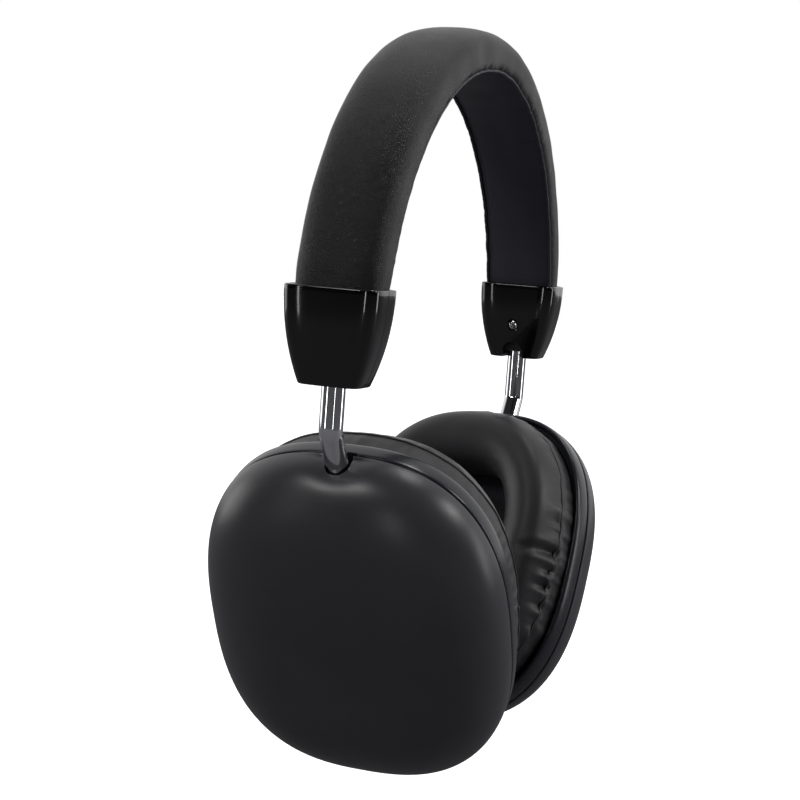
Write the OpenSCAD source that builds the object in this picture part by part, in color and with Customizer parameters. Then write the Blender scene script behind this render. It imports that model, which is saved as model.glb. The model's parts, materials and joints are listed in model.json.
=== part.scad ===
// Over-ear headphones: a padded arch with glossy end caps, chromed telescopic rods and
// two domed cups that swivel and tilt on the rods. Millimetres, +Z up, +X to the wearer's left,
// and the wearer faces -Y. The origin is the middle of the arch's inner face, at the crown.

/* [Arch] */
// Outer radius of the padded arch
band_r = 78; // [76:0.5:80]
// Width of the padded arch, front to back
band_w = 22; // [21:0.5:24]
// Thickness of the leather cover
leather = 1.2; // [1:0.1:1.4]

/* [End caps] */
// Height of an end cap
cap_h = 22.1; // [21.6:0.1:23]
// Width of an end cap at its mouth
cap_w = 23.2; // [23:0.1:24.5]
// Thickness of an end cap at its mouth
cap_t = 15.3; // [15:0.1:16]

/* [Slider] */
// Width of the rod's straight part, front to back
rod_w = 5.6; // [5.2:0.1:6]
// Angle at which the rod slants inwards below its bend
rod_bend = 33.4; // [32:0.1:34.5]

/* [Cup] */
// Height of a cup
cup_h = 91; // [90:1:94]
// Width of a cup, front to back
cup_w = 75.8; // [75:0.1:79]
// Exponent of the cup's outline, 2 for an ellipse
cup_power = 2.59; // [2.5:0.01:2.8]
// Height of the ear pad
pad_h = 15.6; // [14:0.1:17]

/* [Rest pose] */
// How much further out the left rod stands than the right one
left_extension = 2.2; // [0:0.1:6]
// Turn of the left cup about its rod, outer face forwards
left_swivel = 16.8; // [0:0.1:30]
// Turn of the right cup about its rod, outer face forwards
right_swivel = 1.5; // [0:0.1:30]
// Tilt of both cups, bottom edge inwards
cup_tilt = 5; // [0:0.5:6]

/* [Hidden] */
$fn = 48;
band_t = 12;                        // thickness of the padded arch
arch_z = band_t - band_r;           // height of the arch's centre
cap_rise = 11.8;                    // mouth of an end cap above the arch's centre
cap_z = arch_z + cap_rise;          // height of the cap's mouth
cap_floor_z = cap_z - cap_h;
cap_x = sqrt(pow(band_r - band_t / 2, 2) - pow(cap_rise, 2));
cap_wall = 1.5;
cap_steps = 8;                      // points along each curved flank of an end cap
cap_seat = 2;                       // depth to which the padded arch enters a cap
arch_low = 5;                       // arch angle below every part of the padded arch
neck_end = 3.4;                     // arch angle where the squeezed cover stops inside the cap
foam_end = 20.5;                      // arch angle where the foam stops, clear of the rod's top

rod_d = 4.4;                        // depth of the rod and diameter of its lower part
rod_x = cap_x;
rod_bore_r = 1.1;
rod_top_z = cap_z - 0.7;            // top of the right rod at rest
bend_z = cap_floor_z - 10.7;        // bend of the right rod at rest
rod_slant = 9.35;                   // length of the slanting part
ankle_x = rod_x - rod_slant * sin(rod_bend);
ankle_z = bend_z - rod_slant * cos(rod_bend);
swivel_lean = 20.3;                 // lean of the swivel axis
rod_foot = 8;                       // second bend to pivot, along the swivel axis
pivot_x = ankle_x - rod_foot * sin(swivel_lean);
pivot_z = ankle_z - rod_foot * cos(swivel_lean);
slide_gap = 0.05;                   // running gap round the rod
stop_h = 3;

journal_r = 1.7;
block_r = 2.9;
block_top = 2;
block_foot = -5;
clip_t = 0.5;
trunnion_r = 1.5;
trunnion_reach = 7;

shell_d = 18;                       // depth of the shell, rim to face
shell_wall = 2;
shell_round = 30;                   // how far the rounding reaches in from the outline
shell_power = 2.2;
outline_count = 48;
seat_depth = 3.85;                  // pivot outwards from the rim plane
seat_height = 36.75;                // pivot above the cup's centre
post_y = 25;                        // baffle screw posts
post_z = 23;
cradle_screw_y = 7;
cradle_screw_z = 26;

baffle_d = 3.6;                     // depth of the baffle, towards the ear
lip_d = 5.7;                        // reach of the thin lip round the foot of the pad
lip_t = 1.5;
pad_scale = 0.945;                  // pad outline over cup outline
pad_wide = 17.4;                    // width of the pad's ring
pad_base = -4.9;
pad_skin = 1;
driver_r = 20.4;

jack_x = 5.5;                       // depth of the sockets in the cup
jack_y = -9;
jack_r = 1.8;
jack_mouth_z = -42.6;
usb_y = 6;
button_x = 4.5;                     // depth of the buttons in the cup
button_wall_y = 37.35;              // shell surface at the buttons
button_gap = 0.15;
power_z = 8;
volume_up_z = -1.5;
volume_down_z = -11;
light_z = 14.5;
mic_y = -17;

// ---------- shape helpers ----------

function signed_power(c, e) = sign(c) * pow(abs(c), e);

// Rounded outline of half-widths a and b, as points in a plane.
function outline(a, b, power = cup_power, count = outline_count) =
    [for (i = [0:count - 1]) let (t = 360 * i / count)
        [a * signed_power(cos(t), 2 / power), b * signed_power(sin(t), 2 / power)]];

// The same outline standing in the plane x = depth.
function ring(depth, a, b, power = cup_power) = [for (p = outline(a, b, power)) [depth, p[0], p[1]]];

// Solid through a list of equal rings: capped at both ends, or closed into a loop.
module loft(rings, closed = false) {
    n = len(rings[0]);
    m = len(rings);
    sides = [for (j = [0:closed ? m - 1 : m - 2]) for (i = [0:n - 1])
        let (a = j * n + i, b = j * n + (i + 1) % n, k = (j + 1) % m * n)
        each [[a, b, k + (i + 1) % n], [a, k + (i + 1) % n, k + i]]];
    ends = closed ? [] : [[for (i = [n - 1:-1:0]) i], [for (i = [0:n - 1]) (m - 1) * n + i]];
    polyhedron([for (r = rings) each r], concat(sides, ends), convexity = 8);
}

module rounded_bar(r0, r1, w, corner) {
    translate([r0, corner - w / 2]) square([r1 - r0, w - 2 * corner]);
    translate([r0 + corner, -w / 2]) square([r1 - r0 - 2 * corner, w]);
    for (r = [r0 + corner, r1 - corner]) for (s = [-1, 1])
        translate([r, s * (w / 2 - corner)]) circle(corner);
}

// Sweeps a flat profile along the arch, between two angles measured up from +X.
module along_arch(from, to)
    translate([0, 0, arch_z]) rotate([90, 0, 0]) rotate([0, 0, from])
        rotate_extrude(angle = to - from, $fn = 96) children();

// Flat shape in the y-z plane, standing between two depths.
module plate(x0, x1) translate([x0, 0, 0]) rotate([90, 0, 90]) linear_extrude(x1 - x0) children();

module oval(inset = 0) polygon(outline(cup_w / 2 - inset, cup_h / 2 - inset));

module x_rod(x0, x1, r) translate([x0, 0, 0]) rotate([0, 90, 0]) cylinder(r = r, h = x1 - x0);
module y_rod(y0, y1, r) translate([0, y0, 0]) rotate([-90, 0, 0]) cylinder(r = r, h = y1 - y0);

// Two-lobed bar along z, as wide as the rod's straight part.
module rod_bar(z0, z1, gap = 0) {
    r = rod_d / 2 + gap;
    shift = (rod_w - rod_d) / 2;
    for (s = [-1, 1]) translate([0, s * shift, z0]) cylinder(r = r, h = z1 - z0);
    translate([-r, -shift, z0]) cube([2 * r, 2 * shift, z1 - z0]);
}

// ---------- places ----------

module on_left() children();
module on_right() mirror([1, 0, 0]) children();
module both() { on_left() children(); on_right() children(); }
module at_pivot(swivel)
    translate([pivot_x, 0, pivot_z]) rotate([0, swivel_lean, 0]) rotate([0, 0, -swivel]) children();
module on_cup(swivel)
    at_pivot(swivel) rotate([0, cup_tilt, 0]) translate([-seat_depth, 0, -seat_height]) children();
module left_slider() on_left() translate([0, 0, -left_extension]) children();
module right_slider() on_right() children();
module left_pivot() left_slider() at_pivot(left_swivel) children();
module right_pivot() right_slider() at_pivot(right_swivel) children();
module left_cup() left_slider() on_cup(left_swivel) children();
module right_cup() right_slider() on_cup(right_swivel) children();

// ---------- arch ----------

// Full section of the padded arch, or its hollow when inset, cut level inside the end caps.
module band_solid(inset = 0) difference() {
    along_arch(arch_low, 180 - arch_low)
        rounded_bar(band_r - band_t + inset, band_r - inset, band_w - 2 * inset, 4 - inset);
    below_seat(inset);
}

module below_seat(inset = 0)
    translate([-100, -50, cap_z - cap_seat + inset - 60]) cube([200, 100, 60]);

neck_inner = 67.4;
neck_outer = 76.8;
neck_w = 19.2;
lining_w = 16;
lining_t = 1.1;

module headband_cover() color("#1b1b1d") difference() {
    union() {
        band_solid();
        both() along_arch(neck_end, 10) rounded_bar(neck_inner, neck_outer, neck_w, 3);
    }
    band_solid(leather);
    both() along_arch(neck_end - 1, 12)
        rounded_bar(neck_inner + leather, neck_outer - leather, neck_w - 2 * leather, 2);
    along_arch(arch_low, 180 - arch_low)
        translate([band_r - band_t - 1, -lining_w / 2 - 0.1]) square([3, lining_w + 0.2]);
}

module headband_lining() color("#232227") difference() {
    along_arch(arch_low, 180 - arch_low)
        translate([band_r - band_t, -lining_w / 2]) square([lining_t, lining_w]);
    below_seat();
}

module headband_foam() color("#3a3a3c") along_arch(foam_end, 180 - foam_end)
    rounded_bar(67.3, 72.6, 18, 2);

spring_w = 13.2;
spring_fork = 9.2;
spring_end = -2.4;
spring_hole_y = 5.6;

module headband_spring() color("#9a9ca0") difference() {
    along_arch(spring_end, 180 - spring_end) translate([74, -spring_w / 2]) square([0.8, spring_w]);
    both() {
        along_arch(spring_end - 1, foam_end) translate([73, -spring_fork / 2]) square([3, spring_fork]);
        for (s = [-1, 1]) translate([0, s * spring_hole_y, arch_z]) x_rod(72, 77, 0.75);
    }
}

module headband_cable() color("#2a2a2a") along_arch(12, 168) translate([73.6, 7.6]) circle(0.6);

// ---------- end caps ----------

function cap_half_w(h) = cap_w / 2 * (1 - 0.36 * pow(h, 2.2));
function cap_half_t(h) = cap_t / 2 * (1 - 0.27 * pow(h, 2));

// Outer form of an end cap, or its hollow when inset; h runs from the mouth down to the floor.
module cap_form(inset = 0, top = 0, foot = 0) {
    steps = [for (i = [0:cap_steps]) i / cap_steps];
    low = (cap_h - foot) / cap_h;
    front = concat([[-cap_half_w(0) + inset, top]], [for (h = steps) [-cap_half_w(h * low) + inset, -h * low * cap_h]],
        [for (i = [cap_steps:-1:0]) let (h = steps[i] * low) [cap_half_w(h) - inset, -h * cap_h]],
        [[cap_half_w(0) - inset, top]]);
    side = concat([[-cap_half_t(0) + inset, top]], [for (h = steps) [-cap_half_t(h * low) + inset, -h * low * cap_h]],
        [for (i = [cap_steps:-1:0]) let (h = steps[i] * low) [cap_half_t(h) - inset, -h * cap_h]],
        [[cap_half_t(0) - inset, top]]);
    edge = 4.5 - inset;
    translate([cap_x, 0, cap_z]) intersection() {
        translate([-cap_t, 0, 0]) rotate([90, 0, 90]) linear_extrude(2 * cap_t) polygon(front);
        translate([0, cap_w, 0]) rotate([90, 0, 0]) linear_extrude(2 * cap_w) polygon(side);
        translate([0, 0, -cap_h - 1]) linear_extrude(cap_h + 3)
            rounded_bar(inset - cap_t / 2, cap_t / 2 - inset, cap_w - 2 * inset, edge);
    }
}

module cap_shell(x0, x1) difference() {
    intersection() {
        cap_form();
        translate([x0, -cap_w, cap_floor_z - 1]) cube([x1 - x0, 2 * cap_w, cap_h + 2]);
    }
    cap_form(cap_wall, 1, cap_wall);
    translate([0, 0, cap_z - cap_seat - 0.15]) linear_extrude(cap_seat + 2)
        rounded_bar(band_r - band_t - 1.3, band_r - 0.45, band_w + 0.3, 4);
    translate([rod_x, 0, 0]) rod_bar(cap_floor_z - 1, cap_floor_z + cap_wall + 1, 0.3);
}

module end_cap_outer() color("#0c0c0e") {
    cap_shell(cap_x + 0.02, cap_x + cap_t);
    for (s = [-1, 1]) translate([0, s * spring_hole_y, arch_z]) x_rod(73.4, 77.4, 0.7);
}

screw_z = cap_z - 12.2;
notch_w = 6.4;
notch_h = 4.4;

module end_cap_inner() color("#0c0c0e") difference() {
    cap_shell(cap_x - cap_t, cap_x - 0.02);
    translate([0, 0, screw_z]) x_rod(60, 70, 1);
    translate([0, 0, screw_z]) x_rod(60, 65, 1.65);
    translate([60, -notch_w / 2, cap_floor_z - 1]) cube([rod_x - 60, notch_w, notch_h - notch_w / 2 + 1]);
    translate([0, 0, cap_floor_z + notch_h - notch_w / 2]) x_rod(60, rod_x, notch_w / 2);
}

module end_cap_screws() color("#c8c8cc") both() translate([0, 0, screw_z]) {
    x_rod(64.3, 65, 1.5);
    x_rod(65, 68.6, 0.95);
}

guide_top = cap_floor_z + 6.5;

module slider_guide() color("#2c2c30") difference() {
    union() {
        translate([67.3, -5.8, cap_floor_z + 1.8]) cube([7.9, 11.6, guide_top - cap_floor_z - 1.8]);
        translate([66.3, -2.4, guide_top - 0.5]) cube([2.7, 4.8, screw_z + 3.5 - guide_top]);
    }
    translate([rod_x, 0, 0]) rod_bar(cap_floor_z, cap_z, slide_gap);
    translate([0, 0, screw_z]) x_rod(65, 70, 0.97);
}

module friction_spring() color("#b0b2b6") {
    leaf_x = rod_x + rod_d / 2 + 0.7;
    translate([leaf_x, -2.2, guide_top + 0.02]) cube([0.3, 4.4, 7.48]);
    translate([leaf_x, 0, guide_top + 5]) y_rod(-2.2, 2.2, 0.6);
    translate([leaf_x, -2.2, guide_top + 6.7]) cube([1.4, 4.4, 0.8]);
}

// ---------- slider ----------

module at_ankle(lean) translate([ankle_x, 0, ankle_z]) rotate([0, lean, 0]) children();

module slider_rod() color("#dfe1e4") difference() {
    union() {
        translate([rod_x, 0, 0]) rod_bar(bend_z, rod_top_z);
        translate([rod_x, 0, bend_z]) for (s = [-1, 1])
            translate([0, s * (rod_w - rod_d) / 2, 0]) sphere(rod_d / 2);
        translate([rod_x, 0, bend_z]) y_rod((rod_d - rod_w) / 2, (rod_w - rod_d) / 2, rod_d / 2);
        at_ankle(rod_bend) cylinder(r = rod_d / 2, h = rod_slant);
        at_ankle(0) sphere(rod_d / 2 + 0.03);
        at_pivot(0) {
            translate([0, 0, block_top + 0.1]) cylinder(r = rod_d / 2, h = rod_foot - block_top - 0.1);
            translate([0, 0, block_foot - 1.8]) cylinder(r = journal_r, h = block_top - block_foot + 2);
        }
    }
    translate([rod_x, 0, bend_z - 0.5]) cylinder(r = rod_bore_r, h = rod_top_z - bend_z + 1);
    at_ankle(rod_bend) translate([0, 0, -0.4]) cylinder(r = rod_bore_r, h = rod_slant + 1);
    at_pivot(0) {
        translate([0, 0, block_foot - 3]) cylinder(r = rod_bore_r, h = rod_foot - block_foot + 3.4);
        translate([0, 0, block_foot - clip_t - 0.2]) difference() {
            cylinder(r = journal_r + 1, h = clip_t + 0.1);
            translate([0, 0, -1]) cylinder(r = 1.4, h = clip_t + 2);
        }
    }
}

// Eared collar pressed on the top of the rod; its ears meet the guide at full extension.
module slider_stop() color("#3a3b40") translate([rod_x, 0, rod_top_z - stop_h]) difference() {
    union() {
        for (s = [-1, 1]) translate([-1.8, s > 0 ? rod_w / 2 + 0.03 : -4.2, 0]) cube([3.6, 4.17 - rod_w / 2, stop_h]);
        translate([-1.8, -4.2, stop_h + 0.05]) cube([3.6, 8.4, 0.6]);
        for (s = [-1, 1]) translate([-1.8, s > 0 ? 3 : -4.2, stop_h - 0.1]) cube([3.6, 1.2, 0.3]);
    }
    translate([0, 0, -1]) cylinder(r = rod_bore_r, h = stop_h + 3);
}

module rod_clip() color("#8d8f94") translate([0, 0, block_foot - clip_t - 0.15]) difference() {
    cylinder(r = 2.9, h = clip_t);
    translate([0, 0, -1]) cylinder(r = 1.43, h = clip_t + 2);
    translate([0, -0.9, -1]) cube([4, 1.8, clip_t + 2]);
}

module pivot_block() color("#55575c") difference() {
    union() {
        translate([0, 0, block_foot]) cylinder(r = block_r, h = block_top - block_foot);
        y_rod(-trunnion_reach, trunnion_reach, trunnion_r);
    }
    translate([0, 0, block_foot - 1]) cylinder(r = journal_r + slide_gap, h = block_top - block_foot + 2);
}

// ---------- cup ----------

function shell_scale(t) = 1 - shell_round / (cup_h / 2) * (1 - pow(1 - pow(t, shell_power), 1 / shell_power));

function dome(wall, steps) = [for (t = steps) let (s = shell_scale(t))
    ring((shell_d - wall) * t, (cup_w / 2 - wall) * s, (cup_h / 2 - wall) * s)];

dome_steps = [1, 0.97, 0.91, 0.82, 0.7, 0.55, 0.38, 0.2, 0];
dome_rise = [for (i = [len(dome_steps) - 1:-1:0]) dome_steps[i]];
slot_half = 2.9;
slot_depth = 6;

module shell_body(holes = 0) {
    difference() {
        union() {
            loft(concat(dome(0, dome_steps), dome(shell_wall, dome_rise)));
            for (y = [-post_y, post_y]) for (z = [-post_z, post_z])
                translate([0, y, z]) x_rod(0.6, 12, 2.6);
            for (s = [-1, 1]) translate([0, s * cradle_screw_y, cradle_screw_z]) x_rod(11.7, 17, 2.2);
        }
        for (y = [-post_y, post_y]) for (z = [-post_z, post_z])
            translate([0, y, z]) x_rod(-1, 7, 1.02);
        for (s = [-1, 1]) translate([0, s * cradle_screw_y, cradle_screw_z]) x_rod(11, 15.2, 0.92);
        translate([slot_depth - slot_half, 0, cup_h / 2 - 6]) cylinder(r = slot_half, h = 9);
        translate([-1, -slot_half, cup_h / 2 - 6]) cube([slot_depth - slot_half + 1, 2 * slot_half, 9]);
        if (holes) {
            translate([jack_x, jack_y, -cup_h / 2 - 1]) cylinder(r = 3.15, h = 8);
            translate([jack_x, mic_y, -cup_h / 2 - 1]) cylinder(r = 0.6, h = 9);
            translate([jack_x - 1.8, usb_y - 4.7, -cup_h / 2 - 1]) cube([3.6, 9.4, 8]);
            translate([button_x, 0, power_z]) y_rod(30, 40, 2.6 + button_gap);
            for (z = [volume_up_z, volume_down_z]) translate([button_x, 0, z]) pill(30, 40, button_gap);
            translate([button_x, 0, light_z]) y_rod(30, 40, 0.8);
        }
    }
}

module pill(y0, y1, gap = 0) {
    r = 1.7 + gap;
    for (s = [-1, 1]) translate([0, 0, s * 1.8]) y_rod(y0, y1, r);
    translate([-r, y0, -1.8]) cube([2 * r, y1 - y0, 3.6]);
}

module cup_shell(holes = false) color("#1d1d1f") shell_body(holes ? 1 : 0);

module baffle() color("#15161a") difference() {
    union() {
        plate(-2.1, -0.1) oval();
        plate(-baffle_d, -2.1) difference() { oval(); oval(3); }
        plate(-lip_d, -baffle_d) difference() { oval(0.2); oval(lip_t); }
        plate(-0.15, 1.4) difference() { oval(shell_wall + 0.2); oval(shell_wall + 1.6); }
    }
    x_rod(-5, 5, driver_r - 1.6);
    translate([-0.8, -slot_half, seat_height]) cube([4, 2 * slot_half, 12]);
    for (y = [-post_y, post_y]) for (z = [-post_z, post_z]) translate([0, y, z]) x_rod(-5, 3, 1.1);
}

module baffle_screws() color("#8d8f94") for (y = [-post_y, post_y]) for (z = [-post_z, post_z])
    translate([0, y, z]) {
        x_rod(-3.1, -2.1, 1.8);
        x_rod(-2.1, 6, 1);
    }

module pivot_cradle() color("#2c2c30") difference() {
    union() {
        translate([9.6, -10, 22]) cube([2, 20, 9]);
        for (s = [-1, 1]) translate([0, s > 0 ? 4.7 : -6.9, 0]) {
            translate([seat_depth - 2.9, 0, 26]) cube([12.7 - seat_depth, 2.2, 9]);
            translate([seat_depth, 0, seat_height]) y_rod(0, 2.2, 3);
        }
    }
    translate([seat_depth, 0, seat_height]) y_rod(-12, 12, trunnion_r + slide_gap);
    for (s = [-1, 1]) translate([0, s * cradle_screw_y, cradle_screw_z]) x_rod(8, 12, 1);
    for (s = [-1, 1]) translate([0, s * cradle_screw_y, cradle_screw_z]) x_rod(0, 9.6, 1.9);
}

module cradle_screws() color("#8d8f94") for (s = [-1, 1])
    translate([0, s * cradle_screw_y, cradle_screw_z]) {
        x_rod(8.6, 9.6, 1.7);
        x_rod(9.6, 14.8, 0.9);
    }

module pad_plate() color("#2c2c30") plate(-4.8, -3.7) difference() {
    oval(4.6);
    polygon(outline(19, 26));
}

// Loops of the pad's ring, from its rounded section; skin shrinks the section all round.
function pad_loops(skin, sides = 12) = [for (k = [0:sides - 1])
    let (t = -360 * k / sides,
         half = pad_wide / 2 - skin,
         out = half * signed_power(cos(t), 0.75),
         mid = pad_wide / 2)
    ring(pad_base - pad_h / 2 + (pad_h / 2 - skin) * max(-1, min(1, 1.12 * signed_power(sin(t), 0.75))),
        cup_w / 2 * pad_scale - mid + out, cup_h / 2 * pad_scale - mid + out, 2.4)];

module ear_pad_cover() color("#222225") difference() {
    loft(pad_loops(0), closed = true);
    loft(pad_loops(pad_skin), closed = true);
}

module ear_pad_foam() color("#3a3a3c") loft(pad_loops(pad_skin + 0.1), closed = true);

module turned(x_points) rotate([0, 90, 0]) rotate_extrude() polygon([for (p = x_points) [p[1], p[0]]]);

module driver_basket() color("#3d3f44") turned([[0, driver_r], [1.2, driver_r], [1.2, 17.2], [5, 17.2],
    [6, 16.2], [6, 5], [5, 5], [5, 16], [1.2, 16], [1.2, 15.2], [0, 15.2]]);

module driver_magnet() color("#777a80") turned([[6.05, 0], [6.05, 9.5], [9, 9.5], [9.6, 8.9], [9.6, 0]]);

module driver_diaphragm() color("#c9b98a") turned([[1.25, 15.9], [1.55, 15.9], [2.4, 13.5], [1.9, 10.5],
    [3.4, 8], [1.9, 4.5], [1.4, 0], [1.1, 0], [1.6, 4.5], [3.1, 8], [1.6, 10.5], [2.1, 13.5], [1.25, 15.5]]);

module driver_mesh() color("#17171a") x_rod(-2.5, -2.15, driver_r);

// ---------- electronics ----------

module battery() color("#3c6ea8") translate([11.2, -15, -14]) cube([4, 30, 22]);

module main_board() color("#1f5a35") {
    translate([10.3, -14, -33]) cube([1, 28, 13]);
    translate([9.5, -11, -28]) cube([0.81, 6, 6]);
    translate([9.3, 1, -27]) cube([1.01, 4, 4]);
    translate([9.5, 7, -29]) cube([0.81, 5, 3]);
}

module aux_socket() color("#111114") translate([jack_x, jack_y, jack_mouth_z]) difference() {
    union() {
        cylinder(r = 3, h = 4.1);
        translate([-3, -3, 4]) cube([6, 6, 10.4]);
    }
    translate([0, 0, -1]) cylinder(r = jack_r, h = 14);
}

module usb_socket() color("#b9bbc0") translate([jack_x, usb_y, 0]) difference() {
    translate([-1.6, -4.5, -42.7]) cube([3.2, 9, 7.4]);
    translate([-1.3, -4.2, -44]) cube([2.6, 8.4, 7.4]);
}

module button_board() color("#1f5a35") {
    translate([2.6, 30.4, -15]) cube([4, 0.8, 31]);
    for (z = [power_z, volume_up_z, volume_down_z])
        translate([button_x - 1.6, 31.19, z - 1.6]) cube([3.2, 1.01, 3.2]);
}

module light_pipe() color("#e8e8ea") translate([button_x, 0, light_z]) y_rod(31.6, button_wall_y, 0.75);

module microphone() color("#b9bbc0") translate([jack_x, mic_y, -37.2]) cylinder(r = 2, h = 2);

module power_button() color("#0c0c0e") translate([button_x, 0, power_z]) {
    y_rod(33.3, button_wall_y + 0.65, 2.6);
    intersection() {
        y_rod(32.75, 33.35, 2.9);
        translate([-2.1, 30, -4]) cube([4.2, 5, 8]);
    }
}

module volume_button(z) color("#0c0c0e") translate([button_x, 0, z]) {
    pill(33.3, button_wall_y + 0.65);
    intersection() {
        pill(32.75, 33.35, 0.3);
        translate([-2.1, 30, -5]) cube([4.2, 5, 10]);
    }
}

// ---------- assembly ----------

headband_cover();
headband_lining();
headband_foam();
headband_spring();
headband_cable();
on_left() end_cap_outer();  // end_cap_outer_left
on_right() end_cap_outer();  // end_cap_outer_right
on_left() end_cap_inner();  // end_cap_inner_left
on_right() end_cap_inner();  // end_cap_inner_right
end_cap_screws();
on_left() slider_guide();  // slider_guide_left
on_right() slider_guide();  // slider_guide_right
on_left() friction_spring();  // friction_spring_left
on_right() friction_spring();  // friction_spring_right
left_slider() slider_rod();  // slider_rod_left
right_slider() slider_rod();  // slider_rod_right
left_slider() slider_stop();  // slider_stop_left
right_slider() slider_stop();  // slider_stop_right
left_pivot() rod_clip();  // rod_clip_left
right_pivot() rod_clip();  // rod_clip_right
left_pivot() pivot_block();  // pivot_block_left
right_pivot() pivot_block();  // pivot_block_right
left_cup() cup_shell(holes = true);  // cup_shell_left
right_cup() cup_shell();  // cup_shell_right
left_cup() baffle();  // baffle_left
right_cup() baffle();  // baffle_right
left_cup() pivot_cradle();  // pivot_cradle_left
right_cup() pivot_cradle();  // pivot_cradle_right
left_cup() cradle_screws();  // cradle_screws_left
right_cup() cradle_screws();  // cradle_screws_right
left_cup() baffle_screws();  // baffle_screws_left
right_cup() baffle_screws();  // baffle_screws_right
left_cup() pad_plate();  // pad_plate_left
right_cup() pad_plate();  // pad_plate_right
left_cup() ear_pad_cover();  // ear_pad_cover_left
right_cup() ear_pad_cover();  // ear_pad_cover_right
left_cup() ear_pad_foam();  // ear_pad_foam_left
right_cup() ear_pad_foam();  // ear_pad_foam_right
left_cup() driver_basket();  // driver_basket_left
right_cup() driver_basket();  // driver_basket_right
left_cup() driver_magnet();  // driver_magnet_left
right_cup() driver_magnet();  // driver_magnet_right
left_cup() driver_diaphragm();  // driver_diaphragm_left
right_cup() driver_diaphragm();  // driver_diaphragm_right
left_cup() driver_mesh();  // driver_mesh_left
right_cup() driver_mesh();  // driver_mesh_right
right_cup() battery();
left_cup() main_board();
left_cup() aux_socket();
left_cup() usb_socket();
left_cup() button_board();
left_cup() light_pipe();
left_cup() microphone();
left_cup() power_button();
left_cup() volume_button(volume_up_z);  // volume_up_button
left_cup() volume_button(volume_down_z);  // volume_down_button
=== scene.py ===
"""Over-ear headphones: the visible pieces, materials, light and camera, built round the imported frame."""

import json
import math

import bmesh
import bpy
import numpy as np
from mathutils import Matrix, Vector, noise


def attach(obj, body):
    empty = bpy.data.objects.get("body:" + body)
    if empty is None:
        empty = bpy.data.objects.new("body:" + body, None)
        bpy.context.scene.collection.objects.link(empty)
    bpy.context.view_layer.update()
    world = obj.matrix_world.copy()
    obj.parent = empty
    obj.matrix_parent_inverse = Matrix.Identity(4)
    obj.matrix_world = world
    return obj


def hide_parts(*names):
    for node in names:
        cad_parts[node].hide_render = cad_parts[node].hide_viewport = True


MM = 0.001
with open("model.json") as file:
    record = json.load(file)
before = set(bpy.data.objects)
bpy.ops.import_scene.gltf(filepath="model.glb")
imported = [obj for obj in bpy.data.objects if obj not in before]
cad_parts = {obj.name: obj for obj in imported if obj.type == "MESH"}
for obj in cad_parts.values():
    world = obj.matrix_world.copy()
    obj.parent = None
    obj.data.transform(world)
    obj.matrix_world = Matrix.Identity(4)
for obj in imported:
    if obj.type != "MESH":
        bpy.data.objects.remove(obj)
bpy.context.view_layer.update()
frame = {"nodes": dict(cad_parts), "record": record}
NODES = frame["nodes"]

# ---------- shared dimensions, millimetres, as in the frame ----------

BAND_R, BAND_T = 78.0, 12.0
BAND_MID, ARCH_Z = BAND_R - BAND_T / 2, BAND_T - BAND_R
CAP_RISE, CAP_H, CAP_W, CAP_T, CAP_SEAT = 11.8, 22.1, 23.2, 15.3, 2.0
CAP_Z = ARCH_Z + CAP_RISE
CAP_FLOOR = CAP_Z - CAP_H
CAP_X = math.sqrt(BAND_MID ** 2 - CAP_RISE ** 2)
ROD_X, ROD_W, ROD_D = CAP_X, 5.6, 4.4
ROD_BEND, SWIVEL_LEAN = math.radians(33.4), math.radians(20.3)
ROD_TOP, BEND_Z, ROD_SLANT, ROD_FOOT = CAP_Z - 0.7, CAP_FLOOR - 10.7, 9.35, 8.0
BLOCK_TOP, BLOCK_FOOT = 2.0, -5.0
SLANT = np.array([-math.sin(ROD_BEND), 0, -math.cos(ROD_BEND)])
FOOT = np.array([-math.sin(SWIVEL_LEAN), 0, -math.cos(SWIVEL_LEAN)])
KNEE = np.array([ROD_X, 0, BEND_Z])
ANKLE = KNEE + SLANT * ROD_SLANT
PIVOT = ANKLE + FOOT * ROD_FOOT
SEAT = np.array([3.85, 0, 36.75])
SLOT_HALF, SLOT_DEPTH, SLOT_EASE = 2.9, 6.0, 0.45
EXTENSION = {"left": 2.2, "right": 0.0}
SWIVEL = {"left": math.radians(16.8), "right": math.radians(1.5)}
TILT = math.radians(5)
CUP_H, CUP_W, CUP_POWER = 91.0, 75.8, 2.59
SHELL_D, SHELL_WALL, SHELL_ROUND, SHELL_POWER = 18.0, 2.0, 30.0, 2.2
PAD_WIDE, PAD_SCALE = 17.4, 0.945
SIDES = ("left", "right")


# ---------- placing ----------

def turn(axis, angle):
    return np.array(Matrix.Rotation(angle, 3, axis))


def to_side(side, points):
    """Row-frame millimetres of the left half, mirrored for the right side."""
    points = np.array(points, float).reshape(-1, 3)
    return points * [-1, 1, 1] if side == "right" else points


def on_slider(side, points):
    return to_side(side, np.array(points, float).reshape(-1, 3) - [0, 0, EXTENSION[side]])


def cup_turn(side):
    return turn("Y", SWIVEL_LEAN) @ turn("Z", -SWIVEL[side]) @ turn("Y", TILT)


def on_cup(side, points):
    """From the cup's own frame (x outwards from the rim, z up) to the row frame."""
    points = (np.array(points, float).reshape(-1, 3) - SEAT) @ cup_turn(side).T + PIVOT
    return on_slider(side, points)


# ---------- mesh helpers ----------

def smoothstep(t):
    t = np.clip(t, 0, 1)
    return t * t * (3 - 2 * t)


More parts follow.
